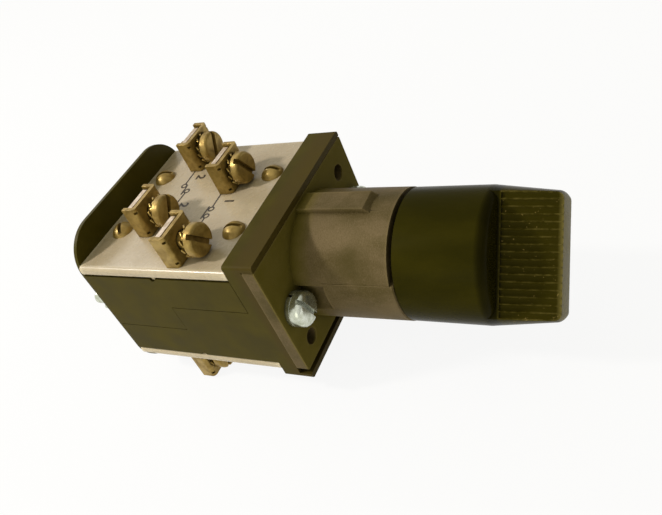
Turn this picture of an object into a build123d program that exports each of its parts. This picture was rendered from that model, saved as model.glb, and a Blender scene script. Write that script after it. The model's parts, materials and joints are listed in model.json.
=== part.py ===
from build123d import *
from math import asin, atan, cos, degrees, hypot, radians, sin, sqrt
import os

os.makedirs("parts", exist_ok=True)

# Two-position industrial selector switch: a die-cast operator with a gripped knob in front,
# and a moulded contact block with two cream terminal plates behind it.
# Frame: origin on the switch axis, at the front face of the mounting flange.
# -Y is the front (knob), +Y the rear, +Z up, +X right as seen from the front.

# Operator casting
barrel_r = 15.0            # for the standard 30.5 mm panel hole
barrel_len = 24.0
barrel_front_r = 14.8       # slight casting draft
barrel_edge = 0.3
barrel_step = 0.8          # the barrel's upper part ends this far short of its lower part
barrel_step_z = 4.2
barrel_boss_r = 12.5
flange_t = 3.2
flange_h = 31.6
flange_rise = 0.7          # the flange sits high between the housing's lips
flange_corner_r = 0.6
key_w = 5.8
key_h = 0.8
key_len = 17.9
key_ramp = 1.3             # slope at the key's front end
key_sink = 3.0             # how far the key is rooted in the barrel
bearing_wall = 7.0
mount_hole_r = 2.0
mount_hole_x = 17.5
mount_hole_z = 10.0
mount_relief_r = 3.1       # pocket in the block behind each mounting hole

# Knob
knob_turn = 45.0           # grip's angle from +X towards +Z in the modelled position
knob_r = 14.7
knob_gap = 0.3
knob_len = 19.4
knob_shoulder_r = 2.4
grip_len = 12.0
grip_base_t = 13.8
grip_end_t = 7.2
grip_end_r = 13.0
grip_edge_r = 0.7
grip_corner_r = 1.6
flute_count = 17
flute_pitch = 1.49
flute_r = 0.8
flute_depth = 0.48
flute_border = 0.6
socket_depth = 17.0
socket_end_gap = 0.4

# Shaft, face cam and stop pin
shaft_r = 4.0
shaft_flat = 0.8
shaft_fit = 0.05           # radial running clearance in the bearing
gland_r = 6.2
gland_depth = 2.6
seal_fit = 0.06
friction_washer_t = 0.6
friction_washer_r = 7.0
collar_r = 6.0
collar_t = 1.4
axial_play = 0.06
cam_r = 9.2
cam_len = 10.4
shaft_end_gap = 0.5        # the shaft ends this far inside the cam's lowest face
cam_fit = 0.03
cam_pin_r = 1.2
cam_pin_front = 4.0        # from the cam's front face to the pin
stop_play_deg = 1.5
stop_land_h = 1.1
switch_angle = 90.0
plunger_travel = 2.4
set_screw_r = 2.0
set_screw_len = 6.0
set_screw_y = 8.0          # behind the knob's shoulder

# Moulded block
body_w = 47.2
wall_h = 36.2
wall_depth = 7.7
wall_corner_r = 0.8
lip_t = 1.5
block_h = 26.8
block_len = 44.7
parting_z = 3.9
parting_gap = 0.12
step_gap = 0.04            # at the upright step between the two halves
chamber_w = 26.0
chamber_front = 1.8        # moulding left between the wall's rear face and the chamber
chamber_rear = 2.0
spring_seat_depth = 1.0
locator_r = 0.6

# Terminal plates
plate_t = 2.7
plate_edge_r = 1.1
plate_gap = 0.15
plate_screw_x = 10.2
plate_screw_front = 5.0    # from the plate's front edge to the first pair of screws
plate_screw_rear = 5.0
plate_screw_r = 1.6
plate_screw_grip = 2.5
dome_r = 2.9
dome_h = 2.0
dome_slot_w = 0.9
dome_slot_d = 1.2

# Terminals: rows of two, staggered
row_a_y = 22.7             # front face of the contact blades
row_b_y = 38.3
outer_x = 17.5
inner_x = 7.7
blade_t = 1.4
blade_fit = 0.1
lug_w = 7.0
shoulder_w = 0.8
shoulder_h = 2.0
foot_inner_x = 4.6
foot_h = 6.8
button_r = 1.6
button_h = 0.8
clamp_w = 9.8
clamp_h = 8.5
clamp_depth = 4.0
clamp_t = 1.0
clamp_bend_r = 1.1
clamp_relief = 1.2         # from a clamp's end to the middle of its relief notch
notch_h = 0.6
notch_reach = 0.75
clamp_lift = 0.05
lug_drop = 0.6             # lugs end this far below the tops of their clamps
wire_gap = 1.2             # between a clamp's wall and the lug that it straddles
back_off_outer = 1.9       # how far two upper screws are left backed out
back_off_inner = 1.5
loose_slack = 2.5          # how far one lower clamp is left slid forward
terminal_screw_r = 2.0
terminal_hole_fit = 0.3
thread_fit = 0.04
head_r = 3.9
head_h = 2.0
head_edge_r = 0.7
head_lift = 0.25
head_slot_w = 1.25
head_slot_d = 1.2
screw_tail = 3.2           # screw past the blade's rear face
star_r = 4.0
star_t = 1.4
star_teeth = 12
star_tooth_depth = 0.8
seat_gap = 0.05

# Moving contacts
plunger_w = 6.8
plunger_h = 5.4
plunger_z = 7.3
plunger_fit = 0.15
plunger_clear = 0.3
nose_r = 2.4
nose_base = 0.4            # plunger's body starts this far ahead of the flange's rear face
cam_clear = 0.15
bridge_len = 19.2
bridge_h = 3.2
bridge_t = 0.9
bridge_button_r = 1.5
bridge_button_h = 0.6
contact_clear = 0.1
leaf_room = 1.9
leaf_t = 0.3
leaf_w = 2.6
leaf_half = 2.9
plunger_end_wall = 1.0
spring_r = 2.1
spring_wire_r = 0.3
spring_turns = 4.0
spring_end_gap = 0.1

# Fastening through the whole block
bolt_x = 18.0
bolt_r = 2.0
bolt_fit = 0.15
bolt_head_r = 4.1
bolt_head_h = 2.8
bolt_slot_w = 1.1
bolt_slot_d = 1.4
bolt_slot_near = 69.5
bolt_slot_far = 25.0
split_washer_t = 1.2
split_washer_r = 4.1
split_gap = 0.7
relief_margin = 1.0        # room round the screw head in the barrel
relief_len = 7.2
rear_plate_t = 1.1
rear_plate_w = 46.5
rear_plate_h = 45.8
rear_plate_corner_r = 9.7
nut_across = 7.0
nut_t = 3.0
bolt_tail = 5.0

# Places that follow from the dimensions above
body_x = body_w / 2
block_z = block_h / 2
block_y = wall_depth + block_len
plate_z = block_z + plate_t
mid_y = wall_depth + block_len / 2
bearing_y = bearing_wall - barrel_len
collar_y = bearing_y + friction_washer_t + 2 * axial_play
cam_y = collar_y + collar_t
cam_face_y = cam_y + cam_len
cam_slope = plunger_travel / 2 / (plunger_z * sin(radians(switch_angle / 2)))
cam_pin_y = cam_y + cam_pin_front
cam_room_r = hypot(plunger_w / 2, plunger_z + plunger_h / 2) + plunger_clear
stop_r = cam_room_r - stop_land_h
shaft_end_y = cam_face_y - shaft_r * cam_slope - shaft_end_gap
knob_rear_y = -barrel_len - knob_gap
shoulder_y = knob_rear_y - knob_len
grip_end_y = shoulder_y - grip_len
grip_dir = Vector(cos(radians(knob_turn)), 0, sin(radians(knob_turn)))
across_dir = Vector(sin(radians(knob_turn)), 0, -cos(radians(knob_turn)))
shaft_front_y = knob_rear_y - socket_depth + socket_end_gap
relief_r = bolt_head_r + relief_margin
bolt_hole_r = bolt_r + bolt_fit
chamber_z = plunger_z + plunger_h / 2 + plunger_clear
chamber_y0 = wall_depth + chamber_front
chamber_y1 = block_y - chamber_rear
foot_z = block_z - shoulder_h - foot_h
terminal_z = plate_z + head_lift + head_r
clamp_z = plate_z + clamp_lift
lug_top_z = clamp_z + clamp_h - lug_drop
clamp_back = wire_gap + clamp_t    # from a clamp's front face to its lug
nose_tip_y = cam_face_y - plunger_travel / 2 + nose_r * (sqrt(1 + cam_slope**2) - 1) + cam_clear
plunger_y0 = flange_t - nose_base
bridge_a_y = row_a_y - button_h - contact_clear - plunger_travel - bridge_button_h - bridge_t
bridge_b_y = row_b_y + blade_t + button_h + contact_clear + bridge_button_h
plunger_y1 = bridge_b_y + bridge_t + leaf_room + plunger_end_wall
spring_y1 = chamber_y1 + spring_seat_depth - spring_end_gap
plate_screw_ys = (
    wall_depth + plate_gap + plate_screw_front,
    block_y - plate_screw_rear,
)

# Upper terminals: blade's front face, terminal's x, inner end of the blade's foot, button's side
terminals = (
    (row_a_y, -outer_x, -foot_inner_x, -1),
    (row_a_y, inner_x, foot_inner_x, -1),
    (row_b_y, outer_x, foot_inner_x, 1),
    (row_b_y, -inner_x, -foot_inner_x, 1),
)


# Plane across the switch axis at depth y, drawn as seen from the front
def facing(y):
    return Plane.XZ.offset(-y)


# Operator casting: flange, barrel and key in one piece
with BuildPart() as operator_body:
    with BuildSketch(Plane.XY):
        with BuildLine():
            Polyline(
                (0, 0),
                (barrel_r, 0),
                (barrel_front_r, barrel_edge - barrel_len),
                (barrel_front_r - barrel_edge, -barrel_len),
                (0, -barrel_len),
                close=True,
            )
        make_face()
    revolve(axis=Axis.Y)
    with BuildSketch(facing(-barrel_len)):
        with Locations((0, barrel_step_z)):
            Rectangle(3 * barrel_r, barrel_r, align=(Align.CENTER, Align.MIN))
        Circle(barrel_boss_r, mode=Mode.SUBTRACT)
    extrude(amount=-barrel_step, mode=Mode.SUBTRACT)
    with BuildSketch(Plane.YZ):
        with BuildLine():
            Polyline(
                (0, barrel_r - key_sink),
                (0, barrel_r + key_h),
                (key_ramp - key_len, barrel_r + key_h),
                (-key_len, barrel_r - key_w**2 / barrel_r / 8),
                (-key_len, barrel_r - key_sink),
                close=True,
            )
        make_face()
    extrude(amount=key_w / 2, both=True)
    with BuildSketch(facing(0)):
        with Locations((bolt_x, 0), (-bolt_x, 0)):
            Circle(relief_r)
    extrude(amount=relief_len, mode=Mode.SUBTRACT)
    with BuildSketch(facing(flange_t)):
        with Locations((0, flange_rise)):
            RectangleRounded(body_w, flange_h, flange_corner_r)
    extrude(amount=flange_t)
    with Locations(facing(0)):
        with Locations((bolt_x, 0), (-bolt_x, 0)):
            Hole(bolt_hole_r, depth=flange_t)
        with Locations((mount_hole_x, mount_hole_z), (-mount_hole_x, -mount_hole_z)):
            Hole(mount_hole_r, depth=flange_t)
    # Cam room, open at the rear, with two stop lands for the pin
    stop_half = switch_angle / 2 + stop_play_deg + degrees(asin(cam_pin_r / stop_r))
    with BuildSketch(facing(flange_t)):
        Circle(cam_room_r)
    extrude(amount=flange_t - cam_pin_y - 2 * cam_pin_r, mode=Mode.SUBTRACT)
    with BuildSketch(facing(cam_pin_y + 2 * cam_pin_r)):
        Circle(stop_r)
        for middle in (90, 270):
            with BuildLine():
                stop_arc = CenterArc((0, 0), cam_room_r, middle - stop_half, 2 * stop_half)
                Line((0, 0), stop_arc @ 0)
                Line(stop_arc @ 1, (0, 0))
            make_face()
    extrude(amount=cam_pin_y + 2 * cam_pin_r - bearing_y, mode=Mode.SUBTRACT)
    with Locations(facing(-barrel_len)):
        CounterBoreHole(shaft_r + shaft_fit, gland_r, gland_depth, depth=bearing_wall)
operator_body.part.label = "operator_body"
export_step(operator_body.part, "parts/operator_body.step")

# Grip: a tapered bar across the knob's front, its ends on a slim cone
taper = atan((grip_base_t - grip_end_t) / 2 / grip_len)
grip_root_y = shoulder_y + knob_shoulder_r
with BuildPart() as grip:
    with BuildSketch(Plane(origin=(0, 0, 0), x_dir=across_dir, z_dir=grip_dir)):
        with BuildLine():
            Polyline(
                (-grip_base_t / 2, grip_root_y),
                (-grip_base_t / 2, shoulder_y),
                (-grip_end_t / 2, grip_end_y),
                (grip_end_t / 2, grip_end_y),
                (grip_base_t / 2, shoulder_y),
                (grip_base_t / 2, grip_root_y),
                close=True,
            )
        make_face()
    extrude(amount=knob_r, both=True)
    with BuildSketch(Plane.XY):
        with BuildLine():
            Polyline(
                (0, grip_root_y),
                (knob_r, grip_root_y),
                (grip_end_r, grip_end_y),
                (0, grip_end_y),
                close=True,
            )
        make_face()
    revolve(axis=Axis.Y, mode=Mode.INTERSECT)
    fillet(grip.faces().sort_by(Axis.Y)[0].edges().sort_by(SortBy.LENGTH)[:2], grip_corner_r)
    fillet(grip.faces().sort_by(Axis.Y)[0].edges().sort_by(SortBy.LENGTH)[-2:], grip_edge_r)

# Knob: turned body with a rounded shoulder, joined to the fluted grip
with BuildPart() as knob:
    with BuildSketch(Plane.XY) as knob_profile:
        with BuildLine():
            Polyline(
                (0, knob_rear_y),
                (knob_r, knob_rear_y),
                (knob_r, shoulder_y),
                (0, shoulder_y),
                close=True,
            )
        make_face()
        fillet(knob_profile.vertices().sort_by_distance((knob_r, shoulder_y))[0], knob_shoulder_r)
    revolve(axis=Axis.Y)
    add(grip.part)
    # Flutes run down both sloping faces, short of the grip's root
    for side in (1, -1):
        slope_dir = across_dir * (side * sin(taper)) + Vector(0, cos(taper), 0)
        outward = across_dir * (side * cos(taper)) - Vector(0, sin(taper), 0)
        grip_edge = across_dir * (side * grip_end_t / 2) + Vector(0, grip_end_y, 0)
        flute_plane = Plane(
            origin=grip_edge + outward * (flute_r - flute_depth) - slope_dir * flute_r,
            x_dir=grip_dir,
            z_dir=slope_dir,
        )
        with BuildSketch(flute_plane):
            with GridLocations(flute_pitch, 1, flute_count, 1):
                Circle(flute_r)
        extrude(amount=grip_len / cos(taper) - flute_border + flute_r, mode=Mode.SUBTRACT)
    # Flatted socket for the shaft, and the set screw's hole
    with BuildSketch(facing(knob_rear_y)):
        Circle(shaft_r)
        flat_reach = 2 * shaft_r - shaft_flat
        with Locations((across_dir.X * flat_reach, across_dir.Z * flat_reach)):
            Rectangle(2 * shaft_r, 2 * shaft_r, rotation=knob_turn, mode=Mode.SUBTRACT)
    extrude(amount=socket_depth, mode=Mode.SUBTRACT)
    set_plane = Plane(origin=(0, shoulder_y + set_screw_y, 0), x_dir=(0, 1, 0), z_dir=across_dir)
    with BuildSketch(set_plane):
        Circle(set_screw_r)
    extrude(amount=2 * knob_r, mode=Mode.SUBTRACT)
knob.part.label = "knob"
export_step(knob.part, "parts/knob.step")

with BuildPart() as knob_set_screw:
    with BuildSketch(set_plane.offset(shaft_r - shaft_flat)):
        Circle(set_screw_r)
    extrude(amount=set_screw_len)
knob_set_screw.part.label = "knob_set_screw"
export_step(knob_set_screw.part, "parts/knob_set_screw.step")

# Operating shaft: flatted front end, thrust collar behind the bearing, plain rear end
with BuildPart() as operating_shaft:
    with BuildSketch(facing(shaft_end_y)):
        Circle(shaft_r)
    extrude(amount=shaft_end_y - shaft_front_y)
    with BuildSketch(facing(cam_y)):
        Circle(collar_r)
    extrude(amount=collar_t)
    with BuildSketch(facing(knob_rear_y)):
        with Locations((across_dir.X * flat_reach, across_dir.Z * flat_reach)):
            Rectangle(2 * shaft_r, 2 * shaft_r, rotation=knob_turn)
    extrude(amount=socket_depth, mode=Mode.SUBTRACT)
    pin_plane = Plane(origin=(0, cam_pin_y, 0), x_dir=(0, 1, 0), z_dir=grip_dir)
    with BuildSketch(pin_plane):
        Circle(cam_pin_r + cam_fit)
    extrude(amount=2 * shaft_r, both=True, mode=Mode.SUBTRACT)
operating_shaft.part.label = "operating_shaft"
export_step(operating_shaft.part, "parts/operating_shaft.step")

with BuildPart() as shaft_seal:
    with BuildSketch(facing(-barrel_len)):
        Circle(gland_r - seal_fit)
        Circle(shaft_r + seal_fit, mode=Mode.SUBTRACT)
    extrude(amount=-(gland_depth - seal_fit))
shaft_seal.part.label = "shaft_seal"
export_step(shaft_seal.part, "parts/shaft_seal.step")

with BuildPart() as friction_washer:
    with BuildSketch(facing(bearing_y + axial_play)):
        Circle(friction_washer_r)
        Circle(shaft_r + plunger_clear, mode=Mode.SUBTRACT)
    extrude(amount=-friction_washer_t)
friction_washer.part.label = "friction_washer"
export_step(friction_washer.part, "parts/friction_washer.step")

# Face cam: its oblique rear face pushes one plunger back as the other comes forward
with BuildPart() as face_cam:
    with BuildSketch(facing(cam_y)):
        Circle(cam_r)
        Circle(shaft_r + cam_fit, mode=Mode.SUBTRACT)
    extrude(amount=-2 * cam_len)
    rise_dir = Vector(cos(radians(switch_angle / 2)), 0, -sin(radians(switch_angle / 2)))
    oblique = Plane(origin=(0, cam_face_y, 0), z_dir=Vector(0, 1, 0) - rise_dir * cam_slope)
    split(bisect_by=oblique, keep=Keep.BOTTOM)
    with BuildSketch(pin_plane):
        Circle(cam_pin_r + cam_fit)
    extrude(amount=2 * cam_r, both=True, mode=Mode.SUBTRACT)
face_cam.part.label = "face_cam"
export_step(face_cam.part, "parts/face_cam.step")

with BuildPart() as cam_pin:
    with BuildSketch(pin_plane):
        Circle(cam_pin_r)
    extrude(amount=cam_room_r - plunger_clear, both=True)
cam_pin.part.label = "cam_pin"
export_step(cam_pin.part, "parts/cam_pin.step")

# Room for the upper contact blades, open at the top of the block
with BuildPart() as blade_slots:
    for row_y, x, foot_x, button_side in terminals:
        outer_edge = x + (lug_w / 2 if x > 0 else -lug_w / 2)
        foot_w = abs(outer_edge - foot_x)
        foot_mid = (outer_edge + foot_x) / 2
        with BuildSketch(facing(row_y - blade_fit)):
            with Locations((foot_mid, foot_z - blade_fit)):
                Rectangle(foot_w + 2 * blade_fit, block_z, align=(Align.CENTER, Align.MIN))
            with Locations((foot_mid, block_z - shoulder_h - blade_fit)):
                Rectangle(foot_w + 2 * shoulder_w + 2 * blade_fit, block_z, align=(Align.CENTER, Align.MIN))
        extrude(amount=-blade_t - 2 * blade_fit)

# Chamber for the moving contacts, with a spring seat behind the upper plunger
with BuildPart() as chamber:
    with BuildSketch(facing(chamber_y0)):
        Rectangle(chamber_w, 2 * chamber_z)
    extrude(amount=chamber_y0 - chamber_y1)
    with BuildSketch(facing(chamber_y1)):
        with Locations((0, plunger_z), (0, -plunger_z)):
            Circle(spring_r + spring_wire_r + plunger_clear)
    extrude(amount=-spring_seat_depth)

# Front half of the block: flanged front wall and the lower part of the body
with BuildPart() as front_housing:
    with BuildSketch(facing(wall_depth)):
        RectangleRounded(body_w, wall_h, wall_corner_r)
    extrude(amount=wall_depth)
    with BuildSketch(facing(flange_t)):
        Rectangle(2 * body_w, wall_h - 2 * lip_t)
    extrude(amount=flange_t, mode=Mode.SUBTRACT)
    with BuildSketch(Plane.YZ):
        with BuildLine():
            Polyline(
                (flange_t, -block_z),
                (flange_t, parting_z - parting_gap),
                (mid_y - step_gap, parting_z - parting_gap),
                (mid_y - step_gap, -parting_z - parting_gap),
                (block_y, -parting_z - parting_gap),
                (block_y, -block_z),
                close=True,
            )
        make_face()
    extrude(amount=body_x, both=True)
    add(chamber.part, mode=Mode.SUBTRACT)
    add(blade_slots.part, rotation=(0, 180, 0), mode=Mode.SUBTRACT)
    with BuildSketch(facing(flange_t)):
        with Locations((0, plunger_z), (0, -plunger_z)):
            Rectangle(plunger_w + 2 * plunger_fit, plunger_h + 2 * plunger_fit)
    extrude(amount=flange_t - chamber_y0, mode=Mode.SUBTRACT)
    with Locations(facing(flange_t)):
        with Locations((bolt_x, 0), (-bolt_x, 0)):
            Hole(bolt_hole_r, depth=block_y)
        with Locations((mount_hole_x, mount_hole_z), (-mount_hole_x, -mount_hole_z)):
            Hole(mount_relief_r, depth=wall_depth - flange_t - lip_t)
    with Locations(Plane.XY.offset(-block_z).rotated((180, 0, 0))):
        with Locations(*[(x, -y) for x in (plate_screw_x, -plate_screw_x) for y in plate_screw_ys]):
            Hole(plate_screw_r + thread_fit, depth=plate_screw_grip + plate_gap)
    with BuildSketch(Plane.YZ):
        with Locations((mid_y, -block_z)):
            Circle(locator_r + blade_fit)
    extrude(amount=body_x, both=True, mode=Mode.SUBTRACT)
front_housing.part.label = "front_housing"
export_step(front_housing.part, "parts/front_housing.step")

# Rear half of the block, stepped to interlock with the front half
with BuildPart() as rear_housing:
    with BuildSketch(Plane.YZ):
        with BuildLine():
            Polyline(
                (wall_depth + parting_gap, block_z),
                (wall_depth + parting_gap, parting_z),
                (mid_y, parting_z),
                (mid_y, -parting_z),
                (block_y, -parting_z),
                (block_y, block_z),
                close=True,
            )
        make_face()
    extrude(amount=body_x, both=True)
    add(chamber.part, mode=Mode.SUBTRACT)
    add(blade_slots.part, mode=Mode.SUBTRACT)
    with BuildSketch(facing(flange_t)):
        with Locations((0, plunger_z)):
            Rectangle(plunger_w + 2 * plunger_fit, plunger_h + 2 * plunger_fit)
    extrude(amount=flange_t - chamber_y0, mode=Mode.SUBTRACT)
    with Locations(facing(mid_y)):
        with Locations((bolt_x, 0), (-bolt_x, 0)):
            Hole(bolt_hole_r, depth=block_len)
    with Locations(Plane.XY.offset(block_z)):
        with Locations(*[(x, y) for x in (plate_screw_x, -plate_screw_x) for y in plate_screw_ys]):
            Hole(plate_screw_r + thread_fit, depth=plate_screw_grip + plate_gap)
    with BuildSketch(Plane.YZ):
        with Locations((mid_y, block_z)):
            Circle(locator_r + blade_fit)
    extrude(amount=body_x, both=True, mode=Mode.SUBTRACT)
rear_housing.part.label = "rear_housing"
export_step(rear_housing.part, "parts/rear_housing.step")

# Terminal plates: round-edged mouldings, located by a rib across their inner face
with BuildPart() as terminal_plate_top:
    with BuildSketch(Plane.XY.offset(block_z)):
        with Locations((0, block_y)):
            Rectangle(body_w, block_len - plate_gap, align=(Align.CENTER, Align.MAX))
    extrude(amount=plate_t)
    fillet(terminal_plate_top.edges().filter_by(Axis.Y), plate_edge_r)
    with BuildSketch(Plane.YZ):
        with Locations((mid_y, block_z)):
            Circle(locator_r)
    extrude(amount=body_x - plate_edge_r / 2, both=True)
    with BuildSketch(Plane.XY.offset(block_z)):
        for row_y, x, foot_x, button_side in terminals:
            with Locations((x, row_y + blade_t / 2)):
                Rectangle(lug_w + 2 * blade_fit, blade_t + 2 * blade_fit)
    extrude(amount=plate_t, mode=Mode.SUBTRACT)
    with Locations(Plane.XY.offset(plate_z)):
        with Locations(*[(x, y) for x in (plate_screw_x, -plate_screw_x) for y in plate_screw_ys]):
            Hole(plate_screw_r + plate_gap, depth=plate_t)
terminal_plate_top.part.label = "terminal_plate_top"
export_step(terminal_plate_top.part, "parts/terminal_plate_top.step")

with BuildPart() as terminal_plate_bottom:
    add(terminal_plate_top.part, rotation=(0, 180, 0))
terminal_plate_bottom.part.label = "terminal_plate_bottom"
export_step(terminal_plate_bottom.part, "parts/terminal_plate_bottom.step")

# Round-head slotted screws that hold each plate down
with BuildPart() as plate_screw:
    with BuildSketch(Plane.XZ):
        with BuildLine():
            dome = TangentArc((0, dome_h), (dome_r, 0), tangent=(1, 0))
            Polyline(dome @ 1, (0, 0), dome @ 0)
        make_face()
    revolve(axis=Axis.Z)
    with BuildSketch(Plane.XY):
        Circle(plate_screw_r)
    extrude(amount=-(plate_t + plate_screw_grip))
    with BuildSketch(Plane.XY.offset(dome_h)):
        Rectangle(3 * dome_r, dome_slot_w)
    extrude(amount=-dome_slot_d, mode=Mode.SUBTRACT)

dome_slot_turns = (95, 120, 105, 27)
with BuildPart() as plate_screws_top:
    screw_spots = [(x, y) for x in (plate_screw_x, -plate_screw_x) for y in plate_screw_ys]
    for (x, y), turn in zip(screw_spots, dome_slot_turns):
        with Locations(Location((x, y, plate_z), (0, 0, turn))):
            add(plate_screw.part)
plate_screws_top.part.label = "plate_screws_top"
export_step(plate_screws_top.part, "parts/plate_screws_top.step")

with BuildPart() as plate_screws_bottom:
    add(plate_screws_top.part, rotation=(0, 180, 0))
plate_screws_bottom.part.label = "plate_screws_bottom"
export_step(plate_screws_bottom.part, "parts/plate_screws_bottom.step")

# Contact blades: a shouldered foot under the plate, an upright lug above it, a contact button
with BuildPart() as contact_blades_top:
    for row_y, x, foot_x, button_side in terminals:
        outer_edge = x + (lug_w / 2 if x > 0 else -lug_w / 2)
        foot_w = abs(outer_edge - foot_x)
        foot_mid = (outer_edge + foot_x) / 2
        with BuildSketch(facing(row_y)):
            with Locations((foot_mid, foot_z)):
                Rectangle(foot_w, foot_h, align=(Align.CENTER, Align.MIN))
            with Locations((foot_mid, block_z - shoulder_h)):
                Rectangle(foot_w + 2 * shoulder_w, shoulder_h, align=(Align.CENTER, Align.MIN))
            with Locations((x, block_z - shoulder_h)):
                Rectangle(lug_w, lug_top_z - block_z + shoulder_h, align=(Align.CENTER, Align.MIN))
            with Locations((x, terminal_z)):
                Circle(terminal_screw_r + thread_fit, mode=Mode.SUBTRACT)
        extrude(amount=-blade_t)
        with BuildSketch(facing(row_y if button_side < 0 else row_y + blade_t)):
            with Locations((inner_x if foot_x > 0 else -inner_x, plunger_z)):
                Circle(button_r)
        extrude(amount=-button_side * button_h)
contact_blades_top.part.label = "contact_blades_top"
export_step(contact_blades_top.part, "parts/contact_blades_top.step")

with BuildPart() as contact_blades_bottom:
    add(contact_blades_top.part, rotation=(0, 180, 0))
contact_blades_bottom.part.label = "contact_blades_bottom"
export_step(contact_blades_bottom.part, "parts/contact_blades_bottom.step")

# Saddle clamp: folded sheet, open at the rear, with a relief notch near both ends of its bends
with BuildPart() as saddle_clamp:
    with BuildSketch(Plane.XY) as clamp_outline:
        Rectangle(clamp_w, clamp_depth, align=(Align.CENTER, Align.MIN))
        fillet(clamp_outline.vertices().group_by(Axis.Y)[0], clamp_bend_r)
        with Locations((0, clamp_t)):
            Rectangle(
                clamp_w - 2 * clamp_t,
                clamp_depth,
                align=(Align.CENTER, Align.MIN),
                mode=Mode.SUBTRACT,
            )
    extrude(amount=clamp_h)
    for notch_z in (clamp_relief, clamp_h - clamp_relief):
        with BuildSketch(Plane.XY.offset(notch_z)):
            with Locations((clamp_w / 2, 0), (-clamp_w / 2, 0)):
                Rectangle(2 * notch_reach, 2 * notch_reach)
        extrude(amount=notch_h / 2, both=True, mode=Mode.SUBTRACT)
    with Locations(facing(0)):
        with Locations((0, terminal_z - clamp_z)):
            Hole(terminal_screw_r + terminal_hole_fit, depth=clamp_t)

with BuildPart() as star_washer:
    with BuildSketch(facing(0)):
        Circle(star_r)
        Circle(terminal_screw_r + terminal_hole_fit, mode=Mode.SUBTRACT)
        with PolarLocations(star_r, star_teeth):
            Rectangle(2 * star_tooth_depth, star_tooth_depth, mode=Mode.SUBTRACT)
    extrude(amount=-star_t)

screw_reach = 2 * seat_gap + star_t + clamp_back + blade_t + screw_tail
with BuildPart() as terminal_screw:
    with BuildSketch(facing(0)):
        Circle(head_r)
    extrude(amount=head_h)
    fillet(terminal_screw.edges().sort_by(Axis.Y)[0], head_edge_r)
    with BuildSketch(facing(0)):
        Circle(terminal_screw_r)
    extrude(amount=-screw_reach)
    with BuildSketch(facing(-head_h)):
        Rectangle(3 * head_r, head_slot_w)
    extrude(amount=-head_slot_d, mode=Mode.SUBTRACT)

# Clamps straddle their lugs; two upper screws are backed out, and one lower clamp is slid forward
head_slot_turns = (51, 60, -64, -55)
upper_back_off = (back_off_outer, 0, 0, back_off_inner)
lower_slack = (0, 0, loose_slack, 0)

with BuildPart() as saddle_clamps_top:
    for row_y, x, foot_x, button_side in terminals:
        with Locations((x, row_y - clamp_back, clamp_z)):
            add(saddle_clamp.part)
saddle_clamps_top.part.label = "saddle_clamps_top"
export_step(saddle_clamps_top.part, "parts/saddle_clamps_top.step")

with BuildPart() as terminal_lock_washers_top:
    for (row_y, x, foot_x, button_side), back_off in zip(terminals, upper_back_off):
        seat_y = row_y - clamp_back - back_off
        with Locations((x, seat_y - seat_gap - star_t, terminal_z)):
            add(star_washer.part)
terminal_lock_washers_top.part.label = "terminal_lock_washers_top"
export_step(terminal_lock_washers_top.part, "parts/terminal_lock_washers_top.step")

with BuildPart() as terminal_screws_top:
    for (row_y, x, foot_x, button_side), back_off, turn in zip(terminals, upper_back_off, head_slot_turns):
        seat_y = row_y - clamp_back - back_off
        with Locations(Location((x, seat_y - 2 * seat_gap - star_t, terminal_z), (0, turn, 0))):
            add(terminal_screw.part)
terminal_screws_top.part.label = "terminal_screws_top"
export_step(terminal_screws_top.part, "parts/terminal_screws_top.step")

with BuildPart() as saddle_clamps_bottom:
    for (row_y, x, foot_x, button_side), slack in zip(terminals, lower_slack):
        with Locations(Location((-x, row_y - clamp_back - slack, -clamp_z), (0, 180, 0))):
            add(saddle_clamp.part)
saddle_clamps_bottom.part.label = "saddle_clamps_bottom"
export_step(saddle_clamps_bottom.part, "parts/saddle_clamps_bottom.step")

with BuildPart() as terminal_lock_washers_bottom:
    for (row_y, x, foot_x, button_side), slack in zip(terminals, lower_slack):
        clamp_y = row_y - clamp_back - slack
        with Locations((-x, clamp_y - seat_gap - star_t, -terminal_z)):
            add(star_washer.part)
terminal_lock_washers_bottom.part.label = "terminal_lock_washers_bottom"
export_step(terminal_lock_washers_bottom.part, "parts/terminal_lock_washers_bottom.step")

with BuildPart() as terminal_screws_bottom:
    for (row_y, x, foot_x, button_side), slack, turn in zip(terminals, lower_slack, head_slot_turns):
        clamp_y = row_y - clamp_back - slack
        with Locations(Location((-x, clamp_y - 2 * seat_gap - star_t, -terminal_z), (0, turn, 0))):
            add(terminal_screw.part)
terminal_screws_bottom.part.label = "terminal_screws_bottom"
export_step(terminal_screws_bottom.part, "parts/terminal_screws_bottom.step")

# Plungers: a round nose on the cam, a guided bar, and a window for each contact bridge
with BuildPart() as plunger_top:
    with BuildSketch(facing(plunger_y0)):
        with Locations((0, plunger_z)):
            Rectangle(plunger_w, plunger_h)
    extrude(amount=plunger_y0 - plunger_y1)
    with BuildSketch(facing(plunger_y0)):
        with Locations((0, plunger_z)):
            Circle(nose_r)
    extrude(amount=plunger_y0 - nose_tip_y - nose_r)
    with Locations((0, nose_tip_y + nose_r, plunger_z)):
        Sphere(nose_r)
    with BuildSketch(Plane.YZ):
        with Locations((bridge_a_y + bridge_t, plunger_z)):
            Rectangle(bridge_t + leaf_room, bridge_h + 2 * blade_fit, align=(Align.MAX, Align.CENTER))
        with Locations((bridge_b_y, plunger_z)):
            Rectangle(bridge_t + leaf_room, bridge_h + 2 * blade_fit, align=(Align.MIN, Align.CENTER))
    extrude(amount=plunger_w, both=True, mode=Mode.SUBTRACT)
plunger_top.part.label = "plunger_top"
export_step(plunger_top.part, "parts/plunger_top.step")

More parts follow.
